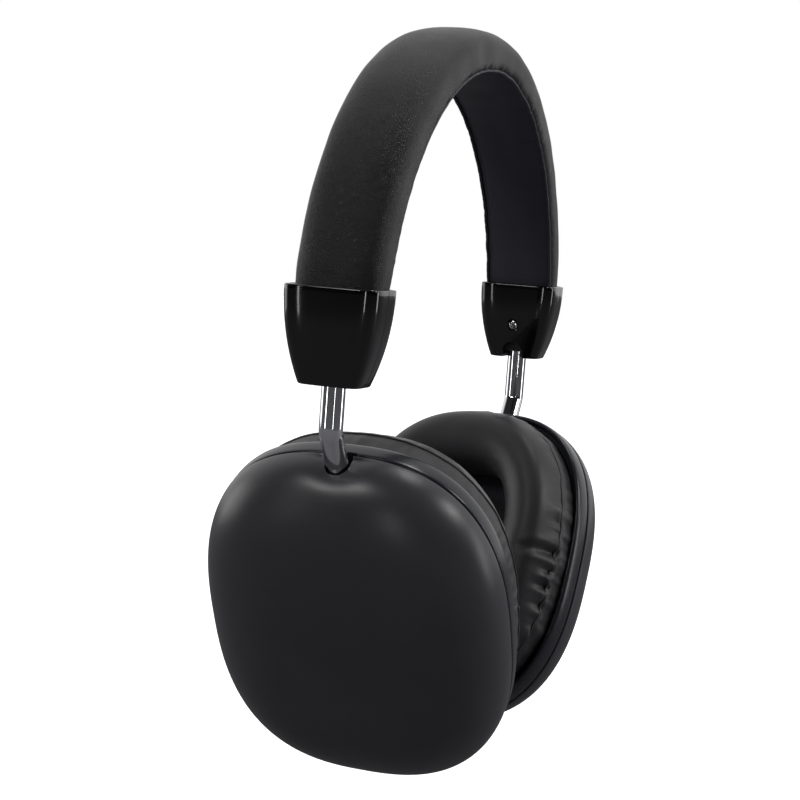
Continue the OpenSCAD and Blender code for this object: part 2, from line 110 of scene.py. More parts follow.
def ring_faces(rows, count, closed=False, fans=False):
    """Quads between rows of equal rings; fans close both ends, each onto one extra point."""
    faces = []
    for r in range(rows if closed else rows - 1):
        for i in range(count):
            a, b = r * count + i, r * count + (i + 1) % count
            c, d = (r + 1) % rows * count + (i + 1) % count, (r + 1) % rows * count + i
            faces.append((a, b, c, d))
    if fans:
        low, tip = (rows - 1) * count, rows * count
        faces += [((i + 1) % count, i, tip) for i in range(count)]
        faces += [(low + i, low + (i + 1) % count, tip + 1) for i in range(count)]
    return faces


def add_object(name, data):
    obj = bpy.data.objects.new(name, data)
    bpy.context.scene.collection.objects.link(obj)
    return obj


def make(name, points, faces, material):
    """A mesh object from millimetre points in the row frame, with its normals outwards."""
    mesh = bpy.data.meshes.new(name)
    mesh.from_pydata((np.array(points, float) * MM).tolist(), [], faces)
    work = bmesh.new()
    work.from_mesh(mesh)
    bmesh.ops.recalc_face_normals(work, faces=work.faces)
    work.to_mesh(mesh)
    work.free()
    mesh.polygons.foreach_set("use_smooth", [True] * len(mesh.polygons))
    mesh.materials.append(material)
    return add_object(name, mesh)


def loft(name, rings, material, tips=()):
    """A closed solid through equal rings, ended by two flat faces, or by fans onto two tips."""
    rings = np.array(rings, float)
    rows, count = rings.shape[:2]
    faces = ring_faces(rows, count, fans=bool(tips))
    if not tips:
        faces += [tuple(range(count)), tuple((rows - 1) * count + i for i in range(count))]
    return make(name, [*rings.reshape(-1, 3), *tips], faces, material)


def turns(count):
    """Even angles once round, without the repeated last one."""
    return np.linspace(0, 2 * math.pi, count, endpoint=False)


def circle(radius, a, b, count):
    """Round outline about the place (a, b)."""
    return [(a + radius * math.cos(t), b + radius * math.sin(t)) for t in turns(count)]


def coordinates(obj):
    """The mesh's points in metres, one a row."""
    co = np.zeros(len(obj.data.vertices) * 3)
    obj.data.vertices.foreach_get("co", co)
    return co.reshape(-1, 3)


def settle(piece, body, node=None):
    """Puts a finished piece on its body, and hides the CAD node it stands for."""
    if node:
        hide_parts(node)
    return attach(piece, body)


def assign(target, **settings):
    for key, value in settings.items():
        setattr(target, key, value)


def apply_modifiers(obj):
    bpy.context.view_layer.update()
    shown = obj.evaluated_get(bpy.context.evaluated_depsgraph_get())
    result = bpy.data.meshes.new_from_object(shown)
    obj.modifiers.clear()
    old = obj.data
    obj.data = result
    bpy.data.meshes.remove(old)
    return obj


def modify(obj, kind, **settings):
    """Adds one modifier and applies it."""
    assign(obj.modifiers.new(kind, kind), **settings)
    return apply_modifiers(obj)


def cut(obj, *cutters, operation="DIFFERENCE"):
    for cutter in cutters:
        modify(obj, "BOOLEAN", object=cutter, operation=operation, solver="EXACT")
    for cutter in cutters:
        bpy.data.objects.remove(cutter)
    return obj


def sharpen(obj, degrees):
    """Smooth shading with the edges sharper than an angle kept crisp."""
    work = bmesh.new()
    work.from_mesh(obj.data)
    limit = math.radians(degrees)
    for face in work.faces:
        face.smooth = True
    for edge in work.edges:
        edge.smooth = not edge.is_manifold or edge.calc_face_angle(0) < limit
    work.to_mesh(obj.data)
    work.free()
    return obj


def join(name, *objects):
    """One object from several, each keeping its material."""
    first = objects[0]
    work = bmesh.new()
    materials = []
    for obj in objects:
        start = len(work.faces)
        work.from_mesh(obj.data)
        work.faces.ensure_lookup_table()
        for face in work.faces[start:]:
            source = obj.data.materials[face.material_index]
            if source not in materials:
                materials.append(source)
            face.material_index = materials.index(source)
    mesh = bpy.data.meshes.new(name)
    work.to_mesh(mesh)
    work.free()
    for material in materials:
        mesh.materials.append(material)
    for obj in objects[1:]:
        bpy.data.objects.remove(obj)
    first.data = mesh
    first.name = name
    return first


def wave(point, scale, seed):
    """Smooth noise in -1 to 1 at a length scale in millimetres."""
    x, y, z = point
    return noise.noise(Vector((x / scale + seed, y / scale + seed, z / scale - seed)))


# ---------- outlines ----------

def signed_power(value, power):
    return math.copysign(abs(value) ** power, value)


def oval(half_a, half_b, power, count, start=0.0):
    """Superellipse points at even polar angles."""
    t = start + turns(count)
    c, s = np.cos(t), np.sin(t)
    r = (np.abs(c / half_a) ** power + np.abs(s / half_b) ** power) ** (-1 / power)
    return np.stack([r * c, r * s], 1)


# ---------- materials ----------

class Nodes:
    """A short way to write a material's node tree."""

    def __init__(self, name):
        self.material = bpy.data.materials.new(name)
        self.material.use_nodes = True
        self.tree = self.material.node_tree
        self.tree.nodes.clear()
        self.shader = self.node("BsdfPrincipled")
        output = self.node("OutputMaterial")
        self.link(self.shader.outputs[0], output.inputs["Surface"])
        self.place = self.node("TexCoord").outputs["Object"]

    def node(self, kind, **settings):
        node = self.tree.nodes.new("ShaderNode" + kind)
        for key, value in settings.items():
            if hasattr(node, key) and key not in node.inputs:
                setattr(node, key, value)
            else:
                node.inputs[key].default_value = value
        return node

    def link(self, source, target):
        self.tree.links.new(source, target)

    def set(self, **values):
        for key, value in values.items():
            self.shader.inputs[key.replace("_", " ")].default_value = value

    def noise(self, size_mm, detail=3.0, rough=0.55, distortion=0.0):
        node = self.node("TexNoise", Scale=1 / (size_mm * MM), Detail=detail, Roughness=rough,
                         Distortion=distortion)
        self.link(self.place, node.inputs["Vector"])
        return node.outputs["Fac"]

    def cells(self, size_mm, feature="F1", jitter=1.0):
        node = self.node("TexVoronoi", feature=feature, Scale=1 / (size_mm * MM), Randomness=jitter)
        self.link(self.place, node.inputs["Vector"])
        return node.outputs["Distance"]

    def remap(self, source, low, high, to_low=0.0, to_high=1.0):
        node = self.node("MapRange")
        self.link(source, node.inputs["Value"])
        for key, value in (("From Min", low), ("From Max", high), ("To Min", to_low), ("To Max", to_high)):
            node.inputs[key].default_value = value
        return node.outputs["Result"]

    def spread(self, source, low=0.0, high=1.0):
        """Noise, which seldom leaves 0.3 to 0.7, spread over a range."""
        return self.remap(source, 0.3, 0.7, low, high)

    def blend(self, first, share, second):
        """A share of the first texture and the rest of the second."""
        return self.math("ADD", self.math("MULTIPLY", first, share), self.math("MULTIPLY", second, 1 - share))

    def math(self, operation, a, b):
        node = self.node("Math", operation=operation)
        for slot, value in zip(node.inputs, (a, b)):
            if isinstance(value, (int, float)):
                slot.default_value = value
            else:
                self.link(value, slot)
        return node.outputs[0]

    def mix(self, factor, first, second):
        node = self.node("Mix", data_type="RGBA")
        self.link(factor, node.inputs["Factor"])
        node.inputs[6].default_value = (*first, 1)
        node.inputs[7].default_value = (*second, 1)
        return node.outputs[2]

    def bump(self, *layers):
        """Stacks (height, depth in mm, strength) layers into the shader's normal."""
        normal = None
        for height, depth, strength in layers:
            node = self.node("Bump", Strength=strength, Distance=depth * MM)
            self.link(height, node.inputs["Height"])
            if normal:
                self.link(normal, node.inputs["Normal"])
            normal = node.outputs["Normal"]
        self.link(normal, self.shader.inputs["Normal"])

    def colour(self, source):
        self.link(source, self.shader.inputs["Base Color"])

    def rough(self, source):
        self.link(source, self.shader.inputs["Roughness"])


def leather(name, dark, light, grain, depth, rough_low, rough_high, creases=0.3, specular=0.42):
    """Embossed polyurethane leather: pebbles between fine valleys, unevenly worn and shiny, with painted shade
    darkening the valleys.
    """
    n = Nodes(name)
    valleys = n.cells(grain, "DISTANCE_TO_EDGE")
    pebble_and_valley_shade = n.remap(valleys, 0.0, 0.32)
    fine = n.noise(grain * 0.35, 4, 0.6)
    broad = n.noise(14, 3, 0.5)
    cloud = n.noise(40, 2, 0.5)
    # Colour: an uneven tone from the cloud, and painted shade in the valleys between the pebbles
    n.colour(n.mix(n.blend(n.spread(cloud), 0.5, pebble_and_valley_shade), dark, light))
    n.rough(n.spread(n.blend(broad, 0.7, fine), rough_low, rough_high))
    n.set(Specular_IOR_Level=specular, Sheen_Weight=0.02, Sheen_Roughness=0.5)
    n.bump((broad, 0.5, creases), (pebble_and_valley_shade, depth, 0.7), (fine, depth * 0.4, 0.5))
    return n.material


def moulded(name, dark, light, rough_low, rough_high, texture_mm, depth, strength=0.5, coat=0.0):
    """Injection-moulded plastic: fine spark texture, faint flow clouds and handling marks."""
    n = Nodes(name)
    texture = n.noise(texture_mm, 5, 0.65)
    cloud = n.noise(30, 3, 0.5)
    marks = n.noise(2.2, 4, 0.7, 1.5)
    n.colour(n.mix(n.spread(cloud), dark, light))
    n.rough(n.spread(n.blend(cloud, 0.6, marks), rough_low, rough_high))
    n.set(Coat_Weight=coat, Coat_Roughness=0.05)
    n.bump((texture, depth, strength))
    return n.material


def metal(name, dark, light, rough_low, rough_high, stretch, size_mm, depth):
    """Bare or plated metal, with streaks drawn along one way by the stretch."""
    n = Nodes(name)
    mapping = n.node("Mapping")
    n.link(n.place, mapping.inputs["Vector"])
    mapping.inputs["Scale"].default_value = stretch
    n.place = mapping.outputs["Vector"]
    streak = n.noise(size_mm, 4, 0.6)
    haze = n.noise(9, 3, 0.5)
    n.colour(n.mix(n.spread(haze), dark, light))
    n.rough(n.spread(n.blend(streak, 0.5, haze), rough_low, rough_high))
    n.set(Metallic=1.0)
    n.bump((streak, depth, 0.3))
    return n.material


def foam_stuff(name, dark, light):
    n = Nodes(name)
    cells = n.cells(0.7, "F1")
    n.colour(n.mix(n.remap(cells, 0.0, 0.7), light, dark))
    n.rough(n.spread(n.noise(5), 0.85, 1.0))
    n.bump((cells, 0.3, 0.8))
    return n.material


def woven(name, dark, light, pitch):
    """Fine plain weave: two crossed sets of threads."""
    n = Nodes(name)
    heights = []
    for direction in ("Y", "Z"):
        node = n.node("TexWave", wave_type="BANDS", bands_direction=direction,
                      Scale=0.314 / (pitch * MM), Distortion=0.6, Detail=1.0)
        n.link(n.place, node.inputs["Vector"])
        heights.append(node.outputs["Fac"])
    weave = n.math("MULTIPLY", *heights)
    n.colour(n.mix(weave, dark, light))
    n.rough(n.spread(n.noise(3), 0.8, 0.95))
    n.set(Sheen_Weight=0.15)
    n.bump((weave, 0.12, 0.9))
    return n.material


def board_stuff(name):
    n = Nodes(name)
    tracks = n.cells(3.2, "DISTANCE_TO_EDGE", 0.35)
    n.colour(n.mix(n.remap(tracks, 0.03, 0.06), (0.05, 0.26, 0.11), (0.008, 0.09, 0.035)))
    n.rough(n.spread(n.noise(2), 0.25, 0.4))
    n.bump((n.remap(tracks, 0.03, 0.06), 0.04, 0.5))
    return n.material


def wrap_stuff(name):
    n = Nodes(name)
    folds = n.noise(4, 3, 0.6, 1.0)
    # Painted shade: the colour follows the folds, lighter on their crests and darker in their troughs
    n.colour(n.mix(n.spread(folds), (0.03, 0.1, 0.28), (0.05, 0.16, 0.4)))
    n.rough(n.spread(n.noise(6), 0.2, 0.35))
    n.bump((folds, 0.15, 0.4))
    return n.material


def clear_stuff(name):
    n = Nodes(name)
    n.colour(n.mix(n.spread(n.noise(1.5)), (0.8, 0.83, 0.86), (0.92, 0.94, 0.96)))
    n.rough(n.spread(n.noise(0.8), 0.12, 0.3))
    n.set(Transmission_Weight=0.85, IOR=1.49)
    n.bump((n.noise(0.5), 0.01, 0.2))
    return n.material


LEATHER = leather("black_leather", (0.014, 0.0136, 0.0145), (0.024, 0.0234, 0.0245),
                  0.5, 0.08, 0.33, 0.45, 0.3, 0.26)
LINING = leather("lining_leather", (0.04, 0.037, 0.051), (0.054, 0.05, 0.068), 0.5, 0.028, 0.42, 0.56, 0.2)
PAD = leather("pad_leather", (0.036, 0.0345, 0.038), (0.048, 0.0465, 0.0505), 0.42, 0.02, 0.36, 0.48, 0.12)
GLOSS = moulded("gloss_black", (0.0018, 0.0018, 0.0024), (0.0028, 0.0028, 0.0036),
                0.07, 0.14, 0.5, 0.006, 0.25, 0.4)
SATIN = moulded("satin_black", (0.05, 0.0475, 0.054), (0.06, 0.057, 0.0645), 0.3, 0.37, 0.16, 0.012, 0.5)
BAFFLE = moulded("baffle_black", (0.017, 0.018, 0.024), (0.024, 0.025, 0.033), 0.2, 0.3, 0.3, 0.012, 0.4)
CHROME = metal("chrome", (0.8, 0.81, 0.83), (0.88, 0.88, 0.9), 0.02, 0.06, (1, 1, 0.1), 0.5, 0.003)
CLOTH = woven("grille_cloth", (0.002, 0.002, 0.0022), (0.013, 0.013, 0.014), 0.55)
FOAM = foam_stuff("foam", (0.01, 0.01, 0.011), (0.03, 0.03, 0.032))

BY_SLOT = dict(
    black_leather=PAD, lining_leather=LINING, foam=FOAM, chrome=CHROME, gloss_black=GLOSS, satin_black=SATIN,
    grille_cloth=CLOTH, circuit_board=board_stuff("circuit_board"), battery_wrap=wrap_stuff("battery_wrap"),
    clear_plastic=clear_stuff("clear_plastic"),
    dark_nylon=moulded("dark_nylon", (0.015, 0.015, 0.017), (0.026, 0.026, 0.028), 0.45, 0.6, 0.25, 0.04),
    driver_steel=moulded("driver_steel", (0.035, 0.035, 0.038), (0.06, 0.06, 0.065), 0.3, 0.45, 0.3, 0.03),
    diaphragm_film=moulded("diaphragm_film", (0.42, 0.31, 0.15), (0.55, 0.42, 0.24), 0.18, 0.3, 1.2, 0.05),
    wire_sheath=moulded("wire_sheath", (0.008, 0.008, 0.008), (0.014, 0.014, 0.014), 0.5, 0.65, 0.3, 0.03),
    socket_plastic=moulded("socket_plastic", (0.003, 0.003, 0.0035), (0.006, 0.006, 0.0065), 0.2, 0.35, 0.3, 0.02),
    spring_steel=metal("spring_steel", (0.42, 0.42, 0.44), (0.58, 0.58, 0.6), 0.25, 0.4, (1, 0.1, 1), 0.3, 0.01),
    screw_steel=metal("screw_steel", (0.35, 0.35, 0.37), (0.52, 0.52, 0.54), 0.2, 0.35, (1, 1, 1), 0.4, 0.01),
    socket_metal=metal("socket_metal", (0.5, 0.5, 0.52), (0.68, 0.68, 0.7), 0.18, 0.3, (1, 1, 1), 0.5, 0.008),
)

for part in frame["record"]["subparts"]:
    data = NODES[part["node"]].data
    data.materials.clear()
    data.materials.append(BY_SLOT[part["material_slot"]])


# ---------- padded arch ----------

ARCH_LOW = math.asin((CAP_RISE - 1.2) / BAND_MID)
ARCH_ANGLES = np.linspace(ARCH_LOW, math.pi - ARCH_LOW, 420)
# The leather's section turns this far from its crown line on each side before it is sewn
SEAM_TURN = 0.70 * math.pi


def arch_point(angle, radius, y):
    return np.array([radius * math.cos(angle), y, ARCH_Z + radius * math.sin(angle)])


def band_half(angle):
    """(half thickness, half width) of the padding along the arch."""
    crown = math.sin(angle) ** 2
    tuck = math.exp(-((min(angle, math.pi - angle) - ARCH_LOW) / 0.05) ** 2)
    return 6.15 - 0.35 * crown - 0.35 * tuck, 10.6 + 0.75 * crown - 0.25 * tuck


def pucker(angle, side, depth):
    """Small gathers of the leather where it is sewn, strongest at the seam."""
    along = angle * BAND_R
    broad = noise.noise(Vector((along / 3.1, side * 7.3, 0.4)))
    return depth * (broad + 0.6 * noise.noise(Vector((along / 1.5, side * 3.1, 5.2))))


def band_profile(t, ht, hw):
    """Section at turn t from the crown line: soft shoulders outside, square corners inside."""
    power_r, power_y = (2.8, 2.7) if math.cos(t) > 0 else (4.2, 4.2)
    return ht * signed_power(math.cos(t), 2 / power_r), hw * signed_power(math.sin(t), 2 / power_y)


def build_headband_cover():
    """Leather from seam to seam round the outside, with the thickness of its padding."""
    count = 72
    rings = []
    for angle in ARCH_ANGLES:
        ht, hw = band_half(angle)
        outer = []
        for i in range(count + 1):
            t = SEAM_TURN * (2 * i / count - 1)
            dr, dy = band_profile(t, ht, hw)
            edge = smoothstep((abs(t) - 0.53 * math.pi) / (0.17 * math.pi))
            swell = 0.14 * wave((dr, dy + angle * 40, angle * BAND_R), 9, 3.0)
            gather = pucker(angle, 1 if dy > 0 else -1, 0.34) * float(edge)
            scale = 1 + (swell + gather) / 9
            outer.append((dr * scale, dy * scale))
        inner = [(r * 0.8, y * 0.885) for r, y in outer[::-1]]
        rings.append([arch_point(angle, BAND_MID + r, y) for r, y in outer + inner])
    return sharpen(loft("headband_cover_leather", rings, LEATHER), 50)


def seam_place(angle, side, out=0.0):
    """Radius and y of the sewn edge, moved in towards the head by out."""
    ht, hw = band_half(angle)
    dr, dy = band_profile(SEAM_TURN, ht, hw)
    return BAND_MID + dr - out, side * dy


def build_lining():
    """Smooth inner panel, gently puffed between the two sewn edges."""
    count = 28
    rings = []
    for angle in ARCH_ANGLES:
        radius, y = seam_place(angle, 1)
        top, bottom = [], []
        for i in range(count + 1):
            u = -1 + 2 * i / count
            puff = 1.25 * (1 - abs(u) ** 3.2)
            lump = 0.12 * wave((u * 6, angle * BAND_R, 0), 8, 9.0) * (1 - u * u)
            tug = pucker(angle, 1 if u > 0 else -1, 0.2) * abs(u) ** 6
            top.append(arch_point(angle, radius + 0.15 - puff - lump - tug, u * (y - 0.35)))
            bottom.append(arch_point(angle, radius + 0.5, u * (y - 0.35)))
        rings.append(top + bottom[::-1])
    return sharpen(loft("headband_lining_leather", rings, LINING), 60)


def tube(name, centres, radius, material, sides, closed=False):
    """Round cord through a list of centres."""
    centres = np.array(centres, float)
    count = len(centres)
    rings = []
    for i in range(count):
        before = centres[i - 1] if (closed or i) else centres[0]
        after = centres[(i + 1) % count] if (closed or i < count - 1) else centres[-1]
        along = Vector(after - before).normalized()
        side = along.cross(Vector((0.0, 1.0, 0.001))).normalized()
        up = along.cross(side).normalized()
        rings.append([centres[i] + radius * (math.cos(a) * np.array(side) + math.sin(a) * np.array(up))
                      for a in turns(sides)])
    if closed:
        return make(name, np.array(rings).reshape(-1, 3), ring_faces(count, sides, True), material)
    return loft(name, rings, material)


def build_piping():
    cords = []
    for side in (-1, 1):
        centres = []
        for angle in ARCH_ANGLES:
            radius, y = seam_place(angle, side, 0.1)
            radius -= pucker(angle, side, 0.12)
            centres.append(arch_point(angle, radius, y + pucker(angle, side, 0.15)))
        cords.append(tube("piping", centres, 0.42, LINING, 10))
    return join("headband_piping", *cords)


def build_headband_foam():
    """Foam strip inside the arch, with rounded shoulders."""
    low = math.radians(20.5)
    rings = [[arch_point(angle, 70.3 + a, b) for a, b in oval(2.2, 7.8, 5, 40)]
             for angle in np.linspace(low, math.pi - low, 120)]
    return sharpen(loft("headband_foam_strip", rings, FOAM), 50)


settle(build_headband_cover(), "headband", "headband_cover")
settle(build_lining(), "headband", "headband_lining")
settle(build_piping(), "headband")
settle(build_headband_foam(), "headband", "headband_foam")


# ---------- end caps ----------

SCREW_Z = CAP_Z - 12.2
CAP_WALL, CAP_SPLIT, NOTCH_R, BORE_R = 1.5, 0.05, 3.2, 1.66


def cap_half(h):
    """(half thickness, half width, corner power) of an end cap, h from 0 at its mouth to 1 at its floor."""
    width = CAP_W / 2 * (1 - 0.36 * h ** 2.2)
    depth = CAP_T / 2 * (1 - 0.27 * h ** 2)
    return depth, width, 5.6 - 0.8 * h


def cap_solid(name, inset, top, floor, round_top, round_floor):
    """The end cap's outer form between two heights, its two edges rounded by quarter circles."""
    angles = np.linspace(0, math.pi / 2, 7)
    levels = [top - round_top + round_top * math.sin(a) for a in angles[::-1]]
    levels += list(np.linspace(top - round_top, floor + round_floor, 26)[1:-1])
    levels += [floor + round_floor - round_floor * math.sin(a) for a in angles]
    rings = []
    for z in levels:
        depth, width, power = cap_half(min(1, max(0, (CAP_Z - z) / CAP_H)))
        pull = 0.0
        if z > top - round_top:
            f = (z - (top - round_top)) / round_top
            pull = round_top * (1 - math.sqrt(max(0, 1 - f * f)))
        elif z < floor + round_floor:
            f = ((floor + round_floor) - z) / round_floor
            pull = round_floor * (1 - math.sqrt(max(0, 1 - f * f)))
        pair = oval(depth - inset - pull, width - inset - pull, power, 160)
        rings.append([[CAP_X + a, b, z] for a, b in pair])
    return loft(name, rings, GLOSS)


def block(name, low, high):
    """A box between two corners."""
    x0, y0, z0 = low
    x1, y1, z1 = high
    points = [(x, y, z) for z in (z0, z1) for y in (y0, y1) for x in (x0, x1)]
    faces = [(0, 1, 3, 2), (4, 5, 7, 6), (0, 1, 5, 4), (2, 3, 7, 6), (0, 2, 6, 4), (1, 3, 7, 5)]
    return make(name, points, faces, GLOSS)


def prism(name, shape, direction, start, end):
    """A flat outline pushed along x or z between two places, as a cutter."""
    rings = [[[place, a, b] if direction == "x" else [a, b, place] for a, b in shape] for place in (start, end)]
    return loft(name, rings, GLOSS)


def build_cap():
    """Left end cap as (outer half, inner half)."""
    halves = []
    for inner in (False, True):
        body = cap_solid("cap", 0, CAP_Z, CAP_FLOOR, 0.45, 0.3)
        hollow = cap_solid("hollow", CAP_WALL, CAP_Z + 3, CAP_FLOOR + CAP_WALL, 0.1, 1.0)
        seat = prism("seat", [(CAP_X + 0.1 + a, b) for a, b in oval(6.35, 11.15, 4.2, 120)], "z",
                     CAP_Z - CAP_SEAT, CAP_Z + 3)
        hole = prism("hole", [(ROD_X + a, b) for a, b in oval(2.5, 3.1, 3, 48)], "z", CAP_FLOOR - 2, CAP_FLOOR + 4)
        cut(body, hollow, seat, hole)
        if inner:
            keep = block("keep", (CAP_X - 20, -20, CAP_FLOOR - 3), (CAP_X - CAP_SPLIT, 20, CAP_Z + 5))
            cut(body, keep, operation="INTERSECT")
            foot, spring = CAP_FLOOR - 2, CAP_FLOOR + 1.2
            arch = [(-NOTCH_R * math.cos(a), spring + NOTCH_R * math.sin(a)) for a in np.linspace(0, math.pi, 25)]
            notch = prism("notch", [(-NOTCH_R, foot), *arch, (NOTCH_R, foot)], "x", CAP_X - 12, ROD_X)
            cut(body, notch, prism("bore", circle(BORE_R, 0, SCREW_Z, 40), "x", 55, 65))
        else:
            keep = block("keep", (CAP_X + CAP_SPLIT, -20, CAP_FLOOR - 3), (CAP_X + 20, 20, CAP_Z + 5))
            cut(body, keep, operation="INTERSECT")
        modify(body, "BEVEL", width=0.16 * MM, segments=2, limit_method="ANGLE", angle_limit=math.radians(50),
               harden_normals=False, use_clamp_overlap=True)
        halves.append(sharpen(body, 40))
    return halves


def mirrored(obj, name):
    """A copy for the right side."""
    copy = add_object(name, obj.data.copy())
    copy.data.transform(Matrix.Diagonal((-1, 1, 1, 1)))
    copy.data.flip_normals()
    return copy


def build_screw(name):
    """Pan-head screw with a cross recess, along x, at the left cap's bore."""
    tip, end = 63.95, 68.6
    profile = [(0.5, 63.93), (1.0, 64.02), (1.35, 64.2), (1.5, 64.45), (1.5, 64.95), (0.95, 65.0), (0.95, 68.4)]
    rings = [[[x, y, z] for y, z in circle(r, 0, SCREW_Z, 48)] for r, x in profile]
    body = loft(name, rings, CHROME, [[tip, 0, SCREW_Z], [end, 0, SCREW_Z]])
    arm, half, angle = 0.85, 0.17, 0.5
    cross = [(-arm, -half), (-half, -half), (-half, -arm), (half, -arm), (half, -half), (arm, -half),
             (arm, half), (half, half), (half, arm), (-half, arm), (-half, half), (-arm, half)]
    shape = [(y * math.cos(angle) - z * math.sin(angle), SCREW_Z + y * math.sin(angle) + z * math.cos(angle))
             for y, z in cross]
    cut(body, prism("recess", shape, "x", 63, 64.75))
    return sharpen(body, 35)


for part, source in zip(("outer", "inner"), build_cap()):
    for side in SIDES:
        name = f"end_cap_{part}_{side}"
        piece = mirrored(source, name + "_moulding") if side == "right" else source
        piece.name = name + "_moulding"
        settle(piece, "headband", name)
screw = build_screw("screw_left_part")
screws = join("end_cap_screw_pair", screw, mirrored(screw, "screw_right_part"))
settle(screws, "headband", "end_cap_screws")


# ---------- rods ----------

KNEE_R, ANKLE_R, JOURNAL_R = 3.2, 6.0, 1.7
# The oblong section turns round over this length, this far below the knee
TAPER_START, TAPER_LENGTH = 8.2, 3.0


def arc(corner, before, after, radius, steps):
    """Points and directions round a corner between two directions in the x-z plane."""
    half = math.acos(float(np.clip(np.dot(before, after), -1, 1))) / 2
    back = radius * math.tan(half)
    start = corner - before * back
    inward = after - before * float(np.dot(before, after))
    inward = inward / np.linalg.norm(inward)
    places = []
    for a in np.linspace(0, 2 * half, steps):
        places.append((start + before * radius * math.sin(a) + inward * radius * (1 - math.cos(a)),
                       before * math.cos(a) + inward * math.sin(a)))
    return places, back


def build_rod(side):
    """Chromed rod: oblong down to the shell, then round, with the journal inside the cup."""
    down = np.array([0, 0, -1.0])
    knee, knee_back = arc(KNEE, down, SLANT, KNEE_R, 14)
    ankle, ankle_back = arc(ANKLE, SLANT, FOOT, ANKLE_R, 10)
    stations = []
    top = np.array([ROD_X, 0, ROD_TOP])
    for chamfer, drop in ((0.5, 0.0), (0.15, 0.15), (0.0, 0.5)):
        stations.append((top + down * drop, down, ROD_D / 2 - chamfer))
    for z in np.linspace(ROD_TOP - 0.8, BEND_Z + knee_back + 0.1, 30):
        stations.append((np.array([ROD_X, 0, z]), down, ROD_D / 2))
    stations += [(p, d, ROD_D / 2) for p, d in knee]
    for q in np.linspace(knee_back, ROD_SLANT - ankle_back, 14)[1:-1]:
        stations.append((KNEE + SLANT * q, SLANT, ROD_D / 2))
    stations += [(p, d, ROD_D / 2) for p, d in ankle]
    collar = ROD_FOOT - BLOCK_TOP - 0.1
    for q in np.linspace(ankle_back, collar, 8)[1:]:
        stations.append((ANKLE + FOOT * q, FOOT, ROD_D / 2))
    tip = ROD_FOOT - BLOCK_FOOT + 1.8
    for q, radius in ((collar + 0.01, JOURNAL_R), (tip - 0.3, JOURNAL_R), (tip, JOURNAL_R - 0.3)):
        stations.append((ANKLE + FOOT * q, FOOT, radius))
    rings = []
    for centre, along, radius in stations:
        across = np.cross([0, 1, 0], along)
        below = float(np.dot(centre - KNEE, SLANT))
        shift = (ROD_W - ROD_D) / 2 * (1 - float(smoothstep((below - TAPER_START) / TAPER_LENGTH)))
        ring = []
        for a in turns(64):
            y = radius * math.sin(a) + math.copysign(shift, math.sin(a)) * min(1, abs(math.sin(a)) * 3)
            ring.append(centre + across * radius * math.cos(a) + np.array([0, y, 0]))
        rings.append(ring)
    shape = np.array(rings).shape
    rings = on_slider(side, rings).reshape(shape)
    return sharpen(loft(f"slider_rod_{side}_chromed", rings, CHROME), 40)


for side in SIDES:
    settle(build_rod(side), f"slider_{side}", f"slider_rod_{side}")


# ---------- cup shells ----------

SHELL_COUNT = 320
FACE_CROWN, SHELL_LIP = 0.35, 0.35
DIMPLE_DEPTH, DIMPLE_REACH = 0.95, 5.2
SOCKET_X, JACK_Y, MIC_Y, USB_Y = 5.5, -9, -17, 6


def shell_profile(steps=44):
    """(depth share, outline scale) from the rim to the edge of the face."""
    angles = np.linspace(0, math.pi / 2, steps)
    share = SHELL_ROUND / (CUP_H / 2)
    return [(math.sin(a) ** (2 / SHELL_POWER), 1 - share * (1 - math.cos(a) ** (2 / SHELL_POWER))) for a in angles]


def dimple(point):
    """How far the shell sinks round the rod's slot."""
    x, y, z = point
    if z < 0:
        return 0.0
    reach = math.hypot(max(0.0, x - 3.4), y)
    return DIMPLE_DEPTH * math.exp(-(reach / DIMPLE_REACH) ** 2)


def slot_outline(half, depth):
    """Rod slot open towards the rim, as (x, y) in the cup's frame."""
    start, end = -2.0, depth - half
    round_end = [(end + half * math.cos(a), half * math.sin(a)) for a in np.linspace(-math.pi / 2, math.pi / 2, 33)]
    return [(start, -half), *round_end, (start, half)]


def build_shell(side):
    """Domed shell with its wall, its rolled lip, and the slot the rod enters by."""
    n, wall = SHELL_COUNT, SHELL_WALL
    profile = shell_profile()
    edge = profile[-1][1]
    face = np.linspace(edge, 0, 14)[1:-1]
    rings = []

    def add(depth, half_a, half_b, sink=False):
        ring = []
        for y, z in oval(half_a, half_b, CUP_POWER, n, math.pi / n):
            keep = 1 - dimple((depth, y, z)) / math.hypot(y, z) if sink else 1.0
            ring.append([depth, y * keep, z * keep])
        rings.append(ring)

    for s in face[::-1]:
        add(SHELL_D + FACE_CROWN * (1 - (s / edge) ** 2), CUP_W / 2 * s, CUP_H / 2 * s)
    for t, s in profile[::-1][:-1]:
        add(SHELL_D * t, CUP_W / 2 * s, CUP_H / 2 * s, True)
    for a in np.linspace(0, math.pi, 9):
        inset = 0.9 * SHELL_LIP * (1 - math.cos(a))
        add(SHELL_LIP * (1 - math.sin(a)) + 0.02, CUP_W / 2 - inset, CUP_H / 2 - inset)
    for t, s in profile:
        add((SHELL_D - wall) * t + (0.6 if t == 0 else 0), (CUP_W / 2 - wall) * s, (CUP_H / 2 - wall) * s)
    for s in face:
        add(SHELL_D - wall, (CUP_W / 2 - wall) * s, (CUP_H / 2 - wall) * s)
    tips = [[SHELL_D + FACE_CROWN, 0, 0], [SHELL_D - wall, 0, 0]]
    body = loft(f"cup_shell_{side}_moulding", rings, SATIN, tips)
    return cut(body, prism("slot", slot_outline(SLOT_HALF + 0.1, SLOT_DEPTH), "z", CUP_H / 2 - 8, CUP_H / 2 + 4))


def place_on_cup(obj, side):
    """Moves a piece made in the cup's own frame to its place in the row frame."""
    obj.data.vertices.foreach_set("co", (on_cup(side, coordinates(obj) / MM) * MM).ravel())
    if side == "right":
        obj.data.flip_normals()
    obj.data.update()
    return obj


